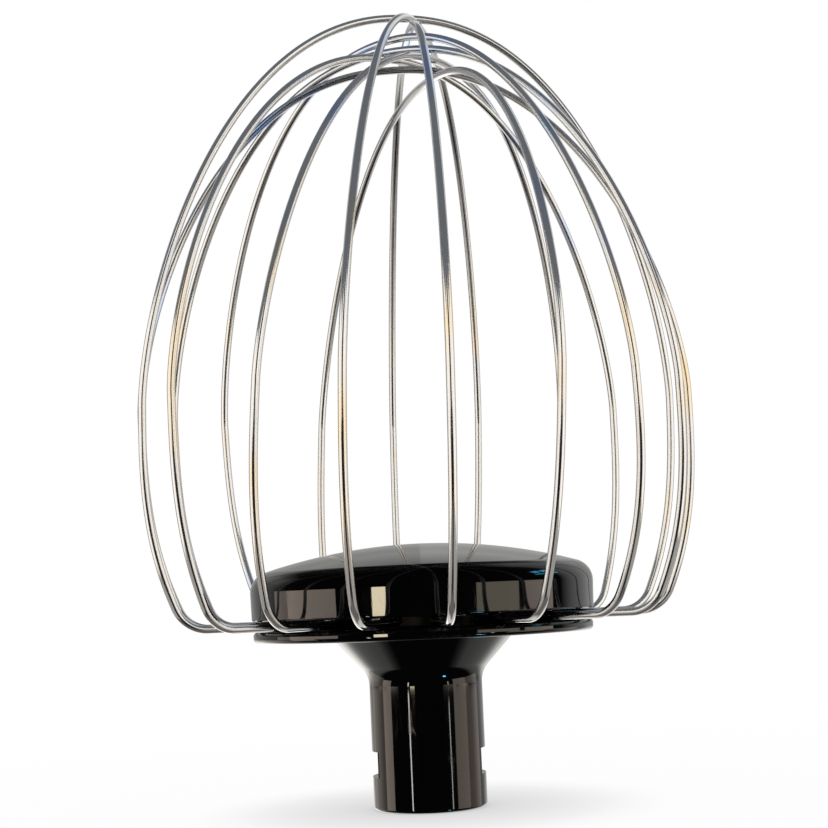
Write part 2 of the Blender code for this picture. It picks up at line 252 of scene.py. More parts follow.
def arc_points(corner, before, after, radius, steps):
    """The points of a fillet at a corner, between the points before and after it."""
    corner, before, after = Vector(corner), Vector(before), Vector(after)
    to_before = (before - corner).normalized()
    to_after = (after - corner).normalized()
    half = to_before.angle(to_after) / 2
    setback = radius / tan(half)
    center = corner + (to_before + to_after).normalized() * (radius / sin(half))
    start = corner + to_before * setback - center
    sweep = pi - 2 * half
    toward = (corner + to_after * setback - center).normalized()
    across = (toward - toward.project(start)).normalized() * radius
    turns = [sweep * i / steps for i in range(steps + 1)]
    return [center + start * cos(turn) + across * sin(turn) for turn in turns]


def rounded(outline, steps=8):
    """A closed outline of (radius, height, fillet) corners as plain points."""
    points = []
    for i, (x, z, fillet) in enumerate(outline):
        if fillet == 0:
            points.append(Vector((x, z)))
            continue
        before = outline[i - 1][:2]
        after = outline[(i + 1) % len(outline)][:2]
        points += arc_points((x, z), before, after, fillet, steps)
    return points


def new_object(name, data):
    """An object of this data, linked to the scene."""
    obj = bpy.data.objects.new(name, data)
    bpy.context.scene.collection.objects.link(obj)
    return obj


def mesh_from(name, shape):
    """A mesh made from this bmesh, which is freed."""
    mesh = bpy.data.meshes.new(name)
    shape.to_mesh(mesh)
    shape.free()
    return mesh


def turned_mesh(name, outline, steps):
    """A solid of revolution round the Z axis from a closed outline of radius and height."""
    shape = bmesh.new()
    ring = [shape.verts.new((point[0], 0.0, point[1])) for point in outline]
    edges = [shape.edges.new((a, b)) for a, b in zip(ring, ring[1:] + ring[:1])]
    bmesh.ops.spin(
        shape, geom=ring + edges, axis=(0, 0, 1), cent=(0, 0, 0),
        angle=2 * pi, steps=steps, use_merge=True,
    )
    bmesh.ops.remove_doubles(shape, verts=shape.verts, dist=1e-7)
    bmesh.ops.dissolve_degenerate(shape, edges=shape.edges, dist=1e-7)
    bmesh.ops.recalc_face_normals(shape, faces=shape.faces)
    return mesh_from(name, shape)


def cylinders_mesh(name, centers, radius, bottom, top, sides):
    """Upright cylinders at these centres in plan."""
    shape = bmesh.new()
    for center in centers:
        middle = Vector((center.x, center.y, (bottom + top) / 2))
        bmesh.ops.create_cone(
            shape, cap_ends=True, segments=sides, radius1=radius, radius2=radius,
            depth=top - bottom, matrix=Matrix.Translation(middle),
        )
    return mesh_from(name, shape)


def box_mesh(name, length, width, bottom, top, turn, corner=0.0):
    """A box centred on the axis and turned about it in degrees, its upright edges rounded."""
    size = Matrix.Diagonal((length, width, top - bottom, 1.0))
    place = Matrix.Rotation(radians(turn), 4, "Z") @ Matrix.Translation(
        (0.0, 0.0, (bottom + top) / 2)
    )
    shape = bmesh.new()
    bmesh.ops.create_cube(shape, size=1.0, matrix=place @ size)
    if corner:
        across = [e for e in shape.edges if abs((e.verts[0].co - e.verts[1].co).z) < 1e-9]
        lengthways = [e for e in across if e.calc_length() < length * 0.99]
        bmesh.ops.bevel(
            shape, geom=lengthways, offset=corner, affect="EDGES", segments=4, profile=0.5,
            material=-1, offset_type="OFFSET",
        )
    return mesh_from(name, shape)


def new_piece(name, mesh, material, node, weighted=False):
    """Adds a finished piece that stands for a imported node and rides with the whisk.

    Weighted normals keep the large faces of a moulding true beside their rounded edges.
    """
    piece = new_object(name, mesh)
    mesh.materials.append(material)
    mesh.shade_smooth()
    mesh.set_sharp_from_angle(angle=radians(38))
    if weighted:
        modifier = piece.modifiers.new("true_faces", "WEIGHTED_NORMAL")
        modifier.mode = "FACE_AREA"
        modifier.weight = 100
        modifier.keep_sharp = True
    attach(piece, "root")
    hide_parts(node)


def carved(mesh, steps):
    """The mesh after each (helper mesh, operation) is joined to it or cut away from it."""
    body = new_object("carving", mesh)
    helpers = []
    for helper_mesh, operation in steps:
        helper = new_object(helper_mesh.name, helper_mesh)
        helpers.append(helper)
        modifier = body.modifiers.new(helper_mesh.name, "BOOLEAN")
        modifier.operation = operation
        modifier.object = helper
    graph = bpy.context.evaluated_depsgraph_get()
    result = bpy.data.meshes.new_from_object(body.evaluated_get(graph), depsgraph=graph)
    for obj in [body, *helpers]:
        bpy.data.objects.remove(obj, do_unlink=True)
    return result


def soften_edges(mesh, low, high, within, offset):
    """Rounds the sharp edges that lie between two heights and within a radius of the axis."""
    shape = bmesh.new()
    shape.from_mesh(mesh)
    bmesh.ops.remove_doubles(shape, verts=shape.verts, dist=2e-6)
    bmesh.ops.dissolve_degenerate(shape, edges=shape.edges, dist=2e-6)

    def wanted(edge):
        if len(edge.link_faces) != 2 or edge.calc_face_angle(0.0) < radians(50):
            return False
        return all(
            low < vert.co.z < high and vert.co.xy.length < within for vert in edge.verts
        )

    edges = [edge for edge in shape.edges if wanted(edge)]
    bmesh.ops.bevel(
        shape, geom=edges, offset=offset, affect="EDGES", segments=3, profile=0.5,
        material=-1, offset_type="OFFSET", clamp_overlap=True,
    )
    bmesh.ops.recalc_face_normals(shape, faces=shape.faces)
    shape.to_mesh(mesh)
    shape.free()


# Centre lines of the wires.


def lower_leg_radius(wires, height, widest):
    below = (wires.widest_height - height) / (wires.widest_height - wires.seam_height)
    return widest - (widest - wires.foot_radius) * below**wires.foot_fullness


def lower_leg_lean(wires, height, widest):
    """Angle from upright at which the leg leaves the foot bend."""
    step = 1e-5
    rise = lower_leg_radius(wires, height + step, widest)
    rise -= lower_leg_radius(wires, height, widest)
    return atan2(rise, step)


def hook_points(wires):
    """Radius and height of the hooked end, up to where the wire runs level outwards."""
    corner = Vector((wires.hook_radius, wires.seam_height))
    tip = Vector((wires.hook_radius, wires.seam_height + wires.hook_height))
    outwards = Vector((wires.foot_radius, wires.seam_height))
    return [tip] + arc_points(corner, tip, outwards, wires.hook_bend, 8)


def lower_leg_points(wires, widest):
    """Radius and height of the foot bend and of the leg up to just below the widest height."""
    leg_start = wires.seam_height + wires.foot_bend / 2
    for _ in range(20):
        lean = lower_leg_lean(wires, leg_start, widest)
        leg_start = wires.seam_height + wires.foot_bend * (1 - sin(lean))
    lean = lower_leg_lean(wires, leg_start, widest)
    bend_radius = lower_leg_radius(wires, leg_start, widest) - wires.foot_bend * cos(lean)
    bend_center = Vector((bend_radius, wires.seam_height + wires.foot_bend))
    points = []
    for i in range(18):
        turn = (pi / 2 - lean) * i / 18
        points.append(bend_center + wires.foot_bend * Vector((sin(turn), -cos(turn))))
    for i in range(30):
        height = leg_start + (wires.widest_height - leg_start) * i / 30
        points.append(Vector((lower_leg_radius(wires, height, widest), height)))
    return points


def upper_leg_points(wires, apex, widest):
    """Radius and height of the leg from the widest height to the top of the loop."""
    points = []
    for i in range(65):
        turn = pi / 2 * i / 64
        radius = widest * max(cos(turn), 0.0) ** (2 / wires.crown_roundness)
        rise = sin(turn) ** (2 / wires.crown_fullness)
        points.append(Vector((radius, wires.widest_height + (apex - wires.widest_height) * rise)))
    return points


def loop_centre_line(wires, number):
    """Points of one loop, up one leg, over the top and down the leg opposite."""
    level, lean_units, spread = LOOP_SETS[number]
    pitch = wires.diameter + wires.gap
    apex = wires.top_height - level * pitch
    crown = wires.top_height - wires.widest_height
    lean_unit = sqrt(pitch * wires.cage_radius**2 / crown)
    widest = wires.cage_radius + spread / 1000
    profile = hook_points(wires) + lower_leg_points(wires, widest)
    profile += upper_leg_points(wires, apex, widest)
    outward = direction(FIRST_LEG_ANGLE + number * 180.0 / LOOP_COUNT)
    hook_top = wires.seam_height + wires.hook_height
    sides = [(outward, point) for point in profile[:-1]]
    sides += [(-outward, point) for point in reversed(profile)]
    points = []
    for side, (radius, height) in sides:
        share = max(height - hook_top, 0.0) / (apex - hook_top)
        points.append(side * radius + Vector((lean_units * lean_unit * share, 0.0, height)))
    return points


def wire_mesh(name, points, radius, sides):
    """A round wire along these points, with its straightened place stored on each point."""
    curve = bpy.data.curves.new(name, "CURVE")
    curve.dimensions = "3D"
    curve.twist_mode = "MINIMUM"
    curve.bevel_mode = "OBJECT"
    curve.use_fill_caps = True
    ring = bpy.data.curves.new(name + "_section", "CURVE")
    ring.dimensions = "2D"
    section = ring.splines.new("POLY")
    section.points.add(sides - 1)
    for i, target in enumerate(section.points):
        turn = 2 * pi * i / sides
        target.co = (radius * cos(turn), radius * sin(turn), 0.0, 1.0)
    section.use_cyclic_u = True
    ring_object = new_object(ring.name, ring)
    curve.bevel_object = ring_object
    spline = curve.splines.new("POLY")
    spline.points.add(len(points) - 1)
    for target, point in zip(spline.points, points):
        target.co = (*point, 1.0)
    spline.use_smooth = True
    holder = new_object(name + "_line", curve)
    graph = bpy.context.evaluated_depsgraph_get()
    mesh = bpy.data.meshes.new_from_object(holder.evaluated_get(graph), depsgraph=graph)
    for obj in (holder, ring_object):
        bpy.data.objects.remove(obj, do_unlink=True)
    mesh.name = name
    store_wire_places(mesh, points)
    return mesh


def store_wire_places(mesh, points):
    """Stores on each vertex how far along the wire it is, and where on the section it lies."""
    along = [0.0]
    for a, b in zip(points, points[1:]):
        along.append(along[-1] + (b - a).length)
    shape = bmesh.new()
    shape.from_mesh(mesh)
    bmesh.ops.remove_doubles(shape, verts=shape.verts, dist=1e-6)
    bmesh.ops.recalc_face_normals(shape, faces=shape.faces)
    layer = shape.verts.layers.float_vector.new("wire_place")
    plane = (points[len(points) // 4] - points[0]).cross(points[len(points) // 2] - points[0])
    plane.normalize()
    nearest = 0
    for vert in shape.verts:
        span = range(max(0, nearest - 4), min(len(points), nearest + 5))
        nearest = min(span, key=lambda i: (vert.co - points[i]).length_squared)
        best = (vert.co - points[nearest]).length
        if best > 0.0011:
            nearest = min(
                range(len(points)), key=lambda i: (vert.co - points[i]).length_squared
            )
        before = points[max(nearest - 1, 0)]
        after = points[min(nearest + 1, len(points) - 1)]
        tangent = (after - before).normalized()
        side = tangent.cross(plane)
        offset = vert.co - points[nearest]
        vert[layer] = Vector((offset.dot(side), offset.dot(plane), along[nearest]))
    shape.to_mesh(mesh)
    shape.free()


# Shader nodes. Shared effects are groups that put out masks and heights only.


def add_node(tree, kind, inputs=None, **settings):
    """A new node with its settings, and its sockets set to values or linked to other sockets."""
    node = tree.nodes.new(kind)
    for name, value in settings.items():
        setattr(node, name, value)
    for name, value in (inputs or {}).items():
        socket = node.inputs[name]
        if isinstance(value, bpy.types.NodeSocket):
            tree.links.new(value, socket)
        else:
            socket.default_value = value
    return node


def math_node(tree, operation, *values, clamp=False):
    """The result of one sum on sockets or numbers."""
    node = add_node(
        tree, "ShaderNodeMath", dict(enumerate(values)), operation=operation, use_clamp=clamp
    )
    return node.outputs["Value"]


def product(tree, *values):
    """The values multiplied together, in order."""
    result = values[0]
    for value in values[1:]:
        result = math_node(tree, "MULTIPLY", result, value)
    return result


def hypotenuse(tree, first, second):
    """The square root of the sum of two squares."""
    total = math_node(tree, "ADD", product(tree, first, first), product(tree, second, second))
    return math_node(tree, "SQRT", total)


def length_of(tree, vector):
    """How long a vector is."""
    node = add_node(tree, "ShaderNodeVectorMath", {0: vector}, operation="LENGTH")
    return node.outputs["Value"]


def ranged(tree, value, low, high, to_low=0.0, to_high=1.0):
    """The value taken from one range to another, held at its ends."""
    node = add_node(
        tree, "ShaderNodeMapRange",
        {"Value": value, "From Min": low, "From Max": high, "To Min": to_low, "To Max": to_high},
        clamp=True,
    )
    return node.outputs["Result"]


def mixed(tree, share, first, second):
    """Two colours mixed by a share."""
    node = add_node(
        tree, "ShaderNodeMix", {0: share, 6: first, 7: second}, data_type="RGBA", blend_type="MIX"
    )
    return node.outputs[2]


def noise(tree, vector, scale, detail=2.0, roughness=0.5, distortion=0.0):
    node = add_node(
        tree, "ShaderNodeTexNoise",
        {
            "Vector": vector, "Scale": scale, "Detail": detail, "Roughness": roughness,
            "Distortion": distortion,
        },
    )
    return node.outputs["Fac"]


def stretched(tree, vector, scale, turn=(0.0, 0.0, 0.0)):
    """Coordinates turned and then scaled by different amounts along their axes."""
    node = add_node(
        tree, "ShaderNodeMapping", {"Vector": vector, "Rotation": turn, "Scale": scale}
    )
    return node.outputs["Vector"]


def new_group(name, inputs, outputs):
    """A shader node group with these (name, socket type, default) inputs and output names."""
    group = bpy.data.node_groups.new(name, "ShaderNodeTree")
    for label, kind, default in inputs:
        socket = group.interface.new_socket(label, in_out="INPUT", socket_type=kind)
        if default is not None:
            socket.default_value = default
    for label in outputs:
        group.interface.new_socket(label, in_out="OUTPUT", socket_type="NodeSocketFloat")
    source = group.nodes.new("NodeGroupInput")
    sink = group.nodes.new("NodeGroupOutput")
    return group, source.outputs, sink.inputs


def hairline_group():
    """Fine scratches in three directions, each a thin broken line."""
    group, given, made = new_group(
        "Hairlines",
        [
            ("Vector", "NodeSocketVector", None),
            ("Density", "NodeSocketFloat", 400.0),
            ("Thinness", "NodeSocketFloat", 0.03),
        ],
        ["Mask"],
    )
    lines = []
    for turn in ((0.3, 0.9, 0.2), (1.1, -0.5, 0.8), (-0.7, 0.2, 1.9)):
        along = stretched(group, given["Vector"], (1.0, 0.035, 0.12), turn)
        field = noise(group, along, given["Density"], 1.0, 0.4, 0.25)
        ridge = math_node(group, "ABSOLUTE", math_node(group, "SUBTRACT", field, 0.5))
        thin = math_node(group, "DIVIDE", ridge, given["Thinness"], clamp=True)
        line = math_node(group, "SUBTRACT", 1.0, thin)
        breaks = ranged(group, noise(group, given["Vector"], 95.0, 1.0), 0.56, 0.66)
        lines.append(product(group, line, breaks))
    first_two = math_node(group, "MAXIMUM", lines[0], lines[1])
    group.links.new(math_node(group, "MAXIMUM", first_two, lines[2]), made["Mask"])


def rim_group():
    """A rubbed rim: 1 near a circle round the axis and 0 away from it, broken up by noise."""
    group, given, made = new_group(
        "Rubbed rim",
        [
            ("Vector", "NodeSocketVector", None),
            ("Radius", "NodeSocketFloat", 0.04),
            ("Height", "NodeSocketFloat", 0.04),
            ("Reach", "NodeSocketFloat", 0.0006),
        ],
        ["Mask"],
    )
    place = add_node(group, "ShaderNodeSeparateXYZ", {"Vector": given["Vector"]}).outputs
    out = math_node(group, "SUBTRACT", hypotenuse(group, place["X"], place["Y"]), given["Radius"])
    up = math_node(group, "SUBTRACT", place["Z"], given["Height"])
    share = math_node(group, "DIVIDE", hypotenuse(group, out, up), given["Reach"])
    near = math_node(group, "SUBTRACT", 1.0, share, clamp=True)
    grain = ranged(group, noise(group, given["Vector"], 900.0, 3.0, 0.6), 0.46, 0.66)
    patches = ranged(group, noise(group, given["Vector"], 70.0, 2.0), 0.38, 0.62)
    group.links.new(product(group, near, grain, patches), made["Mask"])


def smudge_group():
    """Soft cloudy wiping marks, and fine dust that settles in specks."""
    group, given, made = new_group(
        "Smudges and dust",
        [
            ("Vector", "NodeSocketVector", None),
            ("Smudge Scale", "NodeSocketFloat", 60.0),
            ("Dust Scale", "NodeSocketFloat", 1400.0),
        ],
        ["Smudge", "Dust"],
    )
    drawn = stretched(group, given["Vector"], (1.0, 1.0, 0.45), (0.4, 0.2, 0.0))
    clouds = noise(group, drawn, given["Smudge Scale"], 4.0, 0.6, 0.8)
    group.links.new(ranged(group, clouds, 0.42, 0.72), made["Smudge"])
    specks = add_node(
        group, "ShaderNodeTexVoronoi",
        {"Vector": given["Vector"], "Scale": given["Dust Scale"], "Randomness": 1.0},
        feature="F1",
    )
    speck = ranged(group, specks.outputs["Distance"], 0.16, 0.07)
    thinned = ranged(group, noise(group, given["Vector"], 210.0, 2.0, 0.7), 0.60, 0.68)
    group.links.new(product(group, speck, thinned), made["Dust"])


def drawn_wire_group():
    """Marks that drawing leaves along a wire, and slow patches of tint, on straightened wire."""
    group, given, made = new_group(
        "Drawn wire",
        [
            ("Vector", "NodeSocketVector", None),
            ("Seed", "NodeSocketFloat", 0.0),
            ("Fineness", "NodeSocketFloat", 5200.0),
        ],
        ["Lines", "Warm", "Cool", "Rub"],
    )
    shift = add_node(group, "ShaderNodeCombineXYZ", {"X": given["Seed"], "Z": given["Seed"]})
    moved = add_node(
        group, "ShaderNodeVectorMath", {0: given["Vector"], 1: shift.outputs["Vector"]},
        operation="ADD",
    ).outputs["Vector"]
    lengthways = stretched(group, moved, (1.0, 1.0, 0.012))
    group.links.new(noise(group, lengthways, given["Fineness"], 3.0, 0.65), made["Lines"])
    slow = stretched(group, moved, (0.6, 0.6, 1.0))
    group.links.new(ranged(group, noise(group, slow, 34.0, 2.0, 0.5), 0.50, 0.72), made["Warm"])
    # Cool patches, which the wire's finish uses for its painted blue reflection.
    other = stretched(group, moved, (0.6, 0.6, 1.0), (0.0, 0.9, 0.0))
    group.links.new(ranged(group, noise(group, other, 27.0, 2.0, 0.5), 0.54, 0.74), made["Cool"])
    group.links.new(ranged(group, noise(group, moved, 420.0, 4.0, 0.7), 0.45, 0.75), made["Rub"])


def placed_group(tree, group, **inputs):
    """The outputs of a shared effect placed in a material, with its inputs set or linked."""
    effect = bpy.data.node_groups[group]
    return add_node(tree, "ShaderNodeGroup", inputs, node_tree=effect).outputs


def new_material(name, color, roughness, metallic):
    """A material with its tree and Principled BSDF."""
    material = bpy.data.materials.new(name)
    material.use_nodes = True
    material.diffuse_color = (*color, 1.0)
    tree = material.node_tree
    shader = tree.nodes["Principled BSDF"]
    shader.inputs["Base Color"].default_value = (*color, 1.0)
    shader.inputs["Roughness"].default_value = roughness
    shader.inputs["Metallic"].default_value = metallic
    return material, tree, shader.inputs


def object_place(tree):
    return tree.nodes.new("ShaderNodeTexCoord").outputs["Object"]


def gloss_plastic(name, color, rims, inside=0.0):
    """Deep black moulded plastic: polished, faintly wavy, with hairlines, smudges and dust.

    Above the flange and within the radius called inside it is left as moulded.
    """
    material, tree, surface = new_material(name, color, 0.06, 0.0)
    place = object_place(tree)
    marks = placed_group(tree, "Smudges and dust", Vector=place)
    lines = placed_group(tree, "Hairlines", Vector=place)["Mask"]
    worn = None
    for radius, height, reach in rims:
        rim = placed_group(
            tree, "Rubbed rim", Vector=place, Radius=radius, Height=height, Reach=reach
        )["Mask"]
        worn = math_node(tree, "MAXIMUM", worn, rim) if worn else rim
    facing = add_node(tree, "ShaderNodeNewGeometry").outputs["Normal"]
    up = add_node(tree, "ShaderNodeSeparateXYZ", {"Vector": facing}).outputs["Z"]
    settled = product(tree, marks["Dust"], ranged(tree, up, 0.15, 0.9, 0.12, 1.0))
    base = mixed(tree, product(tree, worn, 0.4), (*color, 1.0), (0.06, 0.06, 0.063, 1.0))
    base = mixed(tree, product(tree, settled, 0.3), base, (0.25, 0.24, 0.22, 1.0))
    tree.links.new(base, surface["Base Color"])
    dulled = [(worn, 0.3), (lines, 0.08), (settled, 0.5)]
    if inside:
        spot = add_node(tree, "ShaderNodeSeparateXYZ", {"Vector": place}).outputs
        flat = add_node(tree, "ShaderNodeCombineXYZ", {"X": spot["X"], "Y": spot["Y"]})
        within = math_node(tree, "LESS_THAN", length_of(tree, flat.outputs["Vector"]), inside)
        above = math_node(tree, "GREATER_THAN", spot["Z"], MOULDED_HEIGHT)
        dulled.append((product(tree, within, above), 0.5))
    rough = ranged(tree, marks["Smudge"], 0.0, 1.0, 0.03, 0.07)
    for mask, amount in dulled:
        rough = math_node(tree, "ADD", rough, product(tree, mask, amount), clamp=True)
    tree.links.new(rough, surface["Roughness"])
    surface["IOR"].default_value = 1.38
    waves = noise(tree, place, 85.0, 1.0, 0.4)
    wavy = add_node(
        tree, "ShaderNodeBump", {"Height": waves, "Strength": 0.03, "Distance": 0.0003}
    ).outputs["Normal"]
    etched = add_node(
        tree, "ShaderNodeBump",
        {"Height": lines, "Strength": 0.04, "Distance": 0.00002, "Normal": wavy},
        invert=True,
    ).outputs["Normal"]
    tree.links.new(etched, surface["Normal"])
    return material


def polished_wire(name, finish, seed):
    """Bright drawn stainless wire: lengthways marks, warm patches, painted blue reflection at the
    ends.
    """
    material, tree, surface = new_material(name, finish.steel, 0.13, 1.0)
    place = add_node(tree, "ShaderNodeAttribute", attribute_name="wire_place").outputs["Vector"]
    wire = placed_group(tree, "Drawn wire", Vector=place, Seed=seed)
    height = add_node(tree, "ShaderNodeSeparateXYZ", {"Vector": object_place(tree)}).outputs["Z"]
    middle = product(
        tree, ranged(tree, height, 0.050, 0.075), ranged(tree, height, 0.150, 0.115)
    )
    # Heights that get the painted blue reflection: the bottom bends and the crown.
    ends = math_node(
        tree, "MAXIMUM", ranged(tree, height, 0.062, 0.052), ranged(tree, height, 0.105, 0.150)
    )
    warm = product(tree, wire["Warm"], middle, 0.9)
    base = mixed(tree, warm, (*finish.steel, 1.0), (*finish.straw, 1.0))
    # Painted reflection: a blue tint at the bottom bends and the crown, where the wire reflects a
    # blue window.
    base = mixed(tree, product(tree, wire["Cool"], ends), base, (*finish.blue_reflection_tint, 1.0))
    shade = ranged(tree, wire["Lines"], 0.35, 0.65, 0.0, 0.12)
    base = mixed(tree, shade, base, (0.34, 0.33, 0.32, 1.0))
    tree.links.new(base, surface["Base Color"])
    rough = ranged(tree, wire["Lines"], 0.3, 0.7, 0.09, 0.15)
    rough = math_node(tree, "ADD", rough, product(tree, wire["Rub"], 0.06))
    tree.links.new(rough, surface["Roughness"])
    bump = add_node(
        tree, "ShaderNodeBump",
        {"Height": wire["Lines"], "Strength": 0.05, "Distance": 0.00001},
    ).outputs["Normal"]
    tree.links.new(bump, surface["Normal"])
    return material


def turned_steel(name, color):
    """Plain steel with fine marks of pressing and turning, and a thin film of oil."""
    material, tree, surface = new_material(name, color, 0.32, 1.0)
    place = object_place(tree)
    marks = placed_group(tree, "Smudges and dust", Vector=place)
    lines = placed_group(
        tree, "Hairlines", Vector=place, Density=900.0, Thinness=0.06
    )["Mask"]
    base = mixed(
        tree, ranged(tree, marks["Smudge"], 0.0, 1.0, 0.0, 0.5), (*color, 1.0),
        (0.34, 0.33, 0.31, 1.0),
    )
    tree.links.new(base, surface["Base Color"])
    rough = ranged(tree, marks["Smudge"], 0.0, 1.0, 0.26, 0.44)
    rough = math_node(tree, "ADD", rough, product(tree, lines, 0.15))
    tree.links.new(rough, surface["Roughness"])
    bump = add_node(
        tree, "ShaderNodeBump", {"Height": lines, "Strength": 0.15, "Distance": 0.00003}
    ).outputs["Normal"]
    tree.links.new(bump, surface["Normal"])
    return material


# Operators, one for each kind of piece and one for the studio.


class WHISK_OT_effects(Operator):
    """Make the node groups that the finishes share"""

    bl_idname = "whisk.effects"
    bl_label = "Make shared effects"

    def execute(self, context):
        hairline_group()
        rim_group()
        smudge_group()
        drawn_wire_group()
        return {"FINISHED"}


class WHISK_OT_hub_body(Operator):
    """Make the hub's moulding: stem with bore and bayonet, neck and flange"""

    bl_idname = "whisk.hub_body"
    bl_label = "Make hub body"

    def execute(self, context):
        hub = context.scene.whisk.hub
        collar_top = hub.flange_top + COLLAR_HEIGHT
        outline = (
            (CAP_SCREW_HOLE, hub.bore_depth, 0),
            (hub.bore_radius, hub.bore_depth, 0.0004),
            (hub.bore_radius, 0.0006, 0),
            (hub.bore_radius + 0.0006, 0.0, 0),
            (hub.stem_radius, 0.0, 0.0008),
            (hub.stem_radius, hub.neck_start, 0.006),
            (hub.neck_top_radius, hub.flange_bottom, 0.0015),
            (hub.flange_radius, hub.flange_bottom, 0.001),
            (hub.flange_radius, hub.flange_top, 0.001),
            (COLLAR_RADIUS, hub.flange_top, 0),
            (COLLAR_RADIUS, collar_top, 0.0003),
            (COLLAR_BORE, collar_top, 0.0003),
            (COLLAR_BORE, hub.flange_top, 0),
            (CAP_SCREW_HOLE, hub.flange_top, 0),
        )
        mesh = turned_mesh("hub_body_visual", rounded(outline), hub.steps)
        mesh = carved(mesh, self.cutters(hub))
        mesh.name = "hub_body_visual"
        soften_edges(mesh, -0.001, 0.0165, 0.014, 0.00022)
        rims = (
            (hub.stem_radius - 0.0003, 0.0003, 0.0010),
            (hub.flange_radius - 0.0002, hub.flange_bottom + 0.0003, 0.0009),
            (hub.flange_radius - 0.0002, hub.flange_top - 0.0003, 0.0009),
            (hub.bore_radius + 0.0003, 0.0002, 0.0009),
        )
        color = context.scene.whisk.finish.plastic
        material = gloss_plastic("gloss_black_plastic_body", tuple(color), rims, MOULDED_RADIUS)
        new_piece("hub_body_visual", mesh, material, "hub_body", True)
        return {"FINISHED"}

    def cutters(self, hub):
        """The bayonet's keyways and windows, and the bosses for the clamp plate's screws."""
        step = 360.0 / PLATE_SCREW_COUNT
        angles = [PLATE_SCREW_ANGLE + i * step for i in range(PLATE_SCREW_COUNT)]
        centers = [direction(angle) * PLATE_SCREW_CIRCLE for angle in angles]
        boss_foot = hub.flange_top - 0.0013
        boss_top = hub.cap_lip - 0.0003
        bosses = cylinders_mesh("bosses", centers, PLATE_BOSS_RADIUS, boss_foot, boss_top, 32)
        hole_foot = hub.flange_bottom + 0.0009
        hole_top = boss_top + 0.002
        holes = cylinders_mesh("boss_holes", centers, PLATE_BOSS_HOLE, hole_foot, hole_top, 24)
        keyways = box_mesh(
            "keyways", 2 * (hub.bore_radius + KEYWAY_DEPTH), KEYWAY_WIDTH, KEYWAY_BOTTOM,
            KEYWAY_TOP, KEYWAY_ANGLE,
        )
        windows = box_mesh(
            "windows", 2.4 * hub.stem_radius, WINDOW_WIDTH, WINDOW_BOTTOM, WINDOW_TOP,
            WINDOW_ANGLE, WINDOW_CORNER,
        )
        return (
            (keyways, "DIFFERENCE"), (windows, "DIFFERENCE"),
            (bosses, "UNION"), (holes, "DIFFERENCE"),
        )


class WHISK_OT_hub_cap(Operator):
    """Make the domed cap that closes over the wires"""

    bl_idname = "whisk.hub_cap"
    bl_label = "Make hub cap"

    def execute(self, context):
        hub = context.scene.whisk.hub
        rings = 18
        inner = hub.cap_radius - hub.cap_wall

        def crown(radius, below):
            return hub.cap_top - below - hub.crown_drop * (radius / hub.cap_radius) ** 2

        dome = [hub.cap_radius * i / rings for i in range(rings - 2)]
        span = inner - CAP_BOSS_RADIUS
        ceiling = [CAP_BOSS_RADIUS + span * i / rings for i in range(rings - 1)]
        outline = [
            (hub.cap_radius - 0.0003, hub.cap_lip, 0.0005),
            (hub.cap_radius, crown(hub.cap_radius, 0), hub.shoulder),
            *[(radius, crown(radius, 0), 0) for radius in reversed(dome)],
            (0.0, CAP_SCREW_HOLE_TOP, 0),
            (CAP_SCREW_HOLE, CAP_SCREW_HOLE_TOP, 0),
            (CAP_SCREW_HOLE, CAP_BOSS_BOTTOM, 0),
            (CAP_BOSS_RADIUS, CAP_BOSS_BOTTOM, 0),
            *[(radius, crown(radius, hub.cap_wall), 0) for radius in ceiling],
            (inner, crown(inner, hub.cap_wall), hub.shoulder - hub.cap_wall),
            (inner - 0.0003, hub.cap_lip, 0),
        ]
        mesh = turned_mesh("hub_cap_visual", rounded(outline, 14), hub.steps)
        rims = (
            (hub.cap_radius - 0.0002, hub.cap_lip + 0.0002, 0.0008),
            (hub.cap_radius - 0.0026, hub.cap_lip + 0.0002, 0.0008),
        )
        color = context.scene.whisk.finish.plastic
        material = gloss_plastic("gloss_black_plastic_cap", tuple(color), rims)
        new_piece("hub_cap_visual", mesh, material, "hub_cap", True)
        return {"FINISHED"}


class WHISK_OT_wire_loops(Operator):
    """Bend the round wire loops of the cage"""

    bl_idname = "whisk.wire_loops"
    bl_label = "Make wire loops"

    def execute(self, context):
        wires = context.scene.whisk.wires
        finish = context.scene.whisk.finish
        for number in range(LOOP_COUNT):
            name = f"wire_loop_{number + 1}_visual"
            points = loop_centre_line(wires, number)
            mesh = wire_mesh(name, points, wires.diameter / 2, wires.sides)
            material = polished_wire(f"polished_wire_{number + 1}", finish, number * 1.37)
            new_piece(name, mesh, material, f"wire_loop_{number + 1}")
        return {"FINISHED"}


class WHISK_OT_inner_steel(Operator):
    """Give the clamp plate, its screws, the cap screw and its washer their finish"""

    bl_idname = "whisk.inner_steel"
    bl_label = "Finish inner steel"

    def execute(self, context):
        color = tuple(context.scene.whisk.finish.plate)
        material = turned_steel("plain_plate_steel", color)
        screws = [f"clamp_screw_{i + 1}" for i in range(PLATE_SCREW_COUNT)]
        for node in (*INNER_STEEL, *screws):
            for slot in frame["nodes"][node].material_slots:
                slot.material = material
        return {"FINISHED"}


